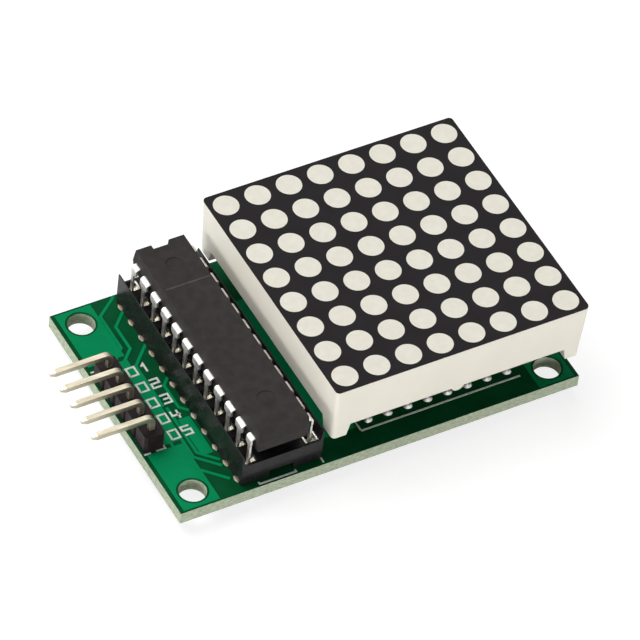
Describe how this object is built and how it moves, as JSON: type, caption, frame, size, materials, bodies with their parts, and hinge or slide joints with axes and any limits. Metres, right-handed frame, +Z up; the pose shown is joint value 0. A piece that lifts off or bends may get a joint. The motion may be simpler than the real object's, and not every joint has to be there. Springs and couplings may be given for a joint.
{
  "type": "led dot matrix display module",
  "caption": "Small circuit board with a square dot matrix display, a driver chip in a socket and a bent pin header for wiring it to a controller.",
  "frame": {"origin": "centre of the four mounting holes, on the board's underside", "axes": "+X along the board towards the display end, +Y across the board towards the chip's notched end, +Z up through the display"},
  "size_m": [0.0564, 0.032, 0.0147],
  "materials": {
    "board_laminate": "glossy green solder mask over pale glass-epoxy",
    "white_housing": "satin moulded plastic",
    "black_face": "matt printed film",
    "dot_resin": "diffusing cast resin, satin",
    "led_die": "bare semiconductor chip",
    "inner_laminate": "bare laminate",
    "back_resin": "cast resin",
    "chip_moulding": "fine matt moulding compound",
    "tinned_lead": "bright tin",
    "socket_plastic": "glossy moulded plastic",
    "contact_metal": "tinned spring metal",
    "header_plastic": "moulded plastic",
    "header_metal": "pale champagne plating",
    "solder": "bright solder",
    "resistor_lacquer": "lacquer",
    "ceramic_lacquer": "dipped lacquer",
    "can_aluminium": "drawn can",
    "sleeve_film": "shrink film",
    "bung_rubber": "moulded rubber"
  },
  "bodies": {
    "root": {"circuit_board": "board_laminate", "display_housing": "white_housing", "display_face": "black_face", "light_dots": "dot_resin", "led_chips": "led_die", "inner_board": "inner_laminate", "back_resin": "back_resin", "chip_body": "chip_moulding", "chip_leads_left": "tinned_lead", "chip_leads_right": "tinned_lead", "socket_frame": "socket_plastic", "socket_contacts_left": "contact_metal", "socket_contacts_right": "contact_metal", "header_base": "header_plastic", "header_solder": "solder", "socket_solder": "solder", "display_solder": "solder", "small_part_solder": "solder", "resistor_body": "resistor_lacquer", "resistor_lead_front": "tinned_lead", "resistor_lead_back": "tinned_lead", "ceramic_capacitor": "ceramic_lacquer", "ceramic_leads": "tinned_lead", "capacitor_can": "can_aluminium", "capacitor_sleeve": "sleeve_film", "capacitor_bung": "bung_rubber", "capacitor_leads": "tinned_lead", "header_pin_1": "header_metal", "header_pin_2": "header_metal", "header_pin_3": "header_metal", "header_pin_4": "header_metal", "header_pin_5": "header_metal", "display_pin_1": "tinned_lead", "display_pin_2": "tinned_lead", "display_pin_3": "tinned_lead", "display_pin_4": "tinned_lead", "display_pin_5": "tinned_lead", "display_pin_6": "tinned_lead", "display_pin_7": "tinned_lead", "display_pin_8": "tinned_lead", "display_pin_9": "tinned_lead", "display_pin_10": "tinned_lead", "display_pin_11": "tinned_lead", "display_pin_12": "tinned_lead", "display_pin_13": "tinned_lead", "display_pin_14": "tinned_lead", "display_pin_15": "tinned_lead", "display_pin_16": "tinned_lead"}
  },
  "joints": []
}
